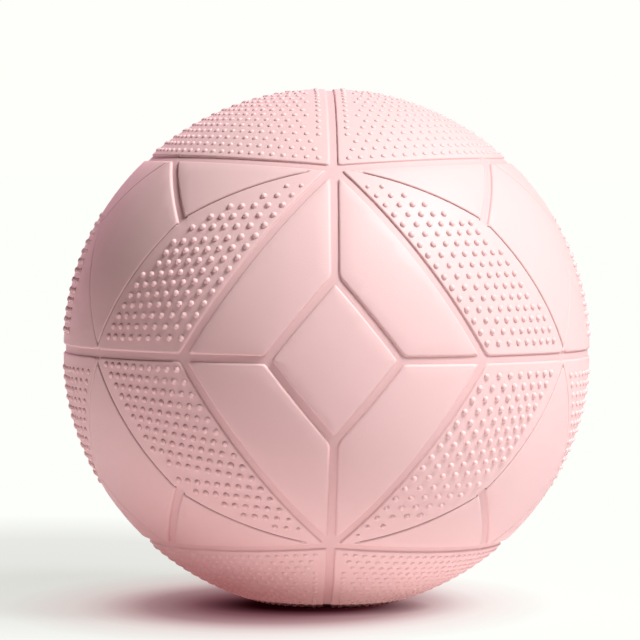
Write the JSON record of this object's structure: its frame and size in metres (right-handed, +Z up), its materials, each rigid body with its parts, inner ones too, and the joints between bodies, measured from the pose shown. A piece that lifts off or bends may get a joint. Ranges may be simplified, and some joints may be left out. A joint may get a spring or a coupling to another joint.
{
  "type": "mini pilates ball",
  "caption": "Soft inflatable mini exercise ball with plain and dotted grip panels between moulded channels, a flush valve and a push-in stopper.",
  "frame": {"origin": "middle of the flat patch that the ball rests on, on the floor", "axes": "+Z up, -Y out of the front of the pattern, +Y out of the valve, +X to the right seen from the front"},
  "size_m": [0.231, 0.2298, 0.2256],
  "materials": {
    "skin": "matte pink soft PVC with a fine moulded grain",
    "valve": "satin pink soft PVC, moulded",
    "plug": "satin off-white polyethylene, moulded"
  },
  "bodies": {
    "ball": {"ball_skin": "skin", "valve_insert": "valve"},
    "stopper": {"stopper_plug": "plug"}
  },
  "joints": [
    {"name": "stopper_pull", "type": "slide", "parent": "ball", "child": "stopper", "axis": [0, 1, 0], "range_m": [0, 0.03]}
  ]
}
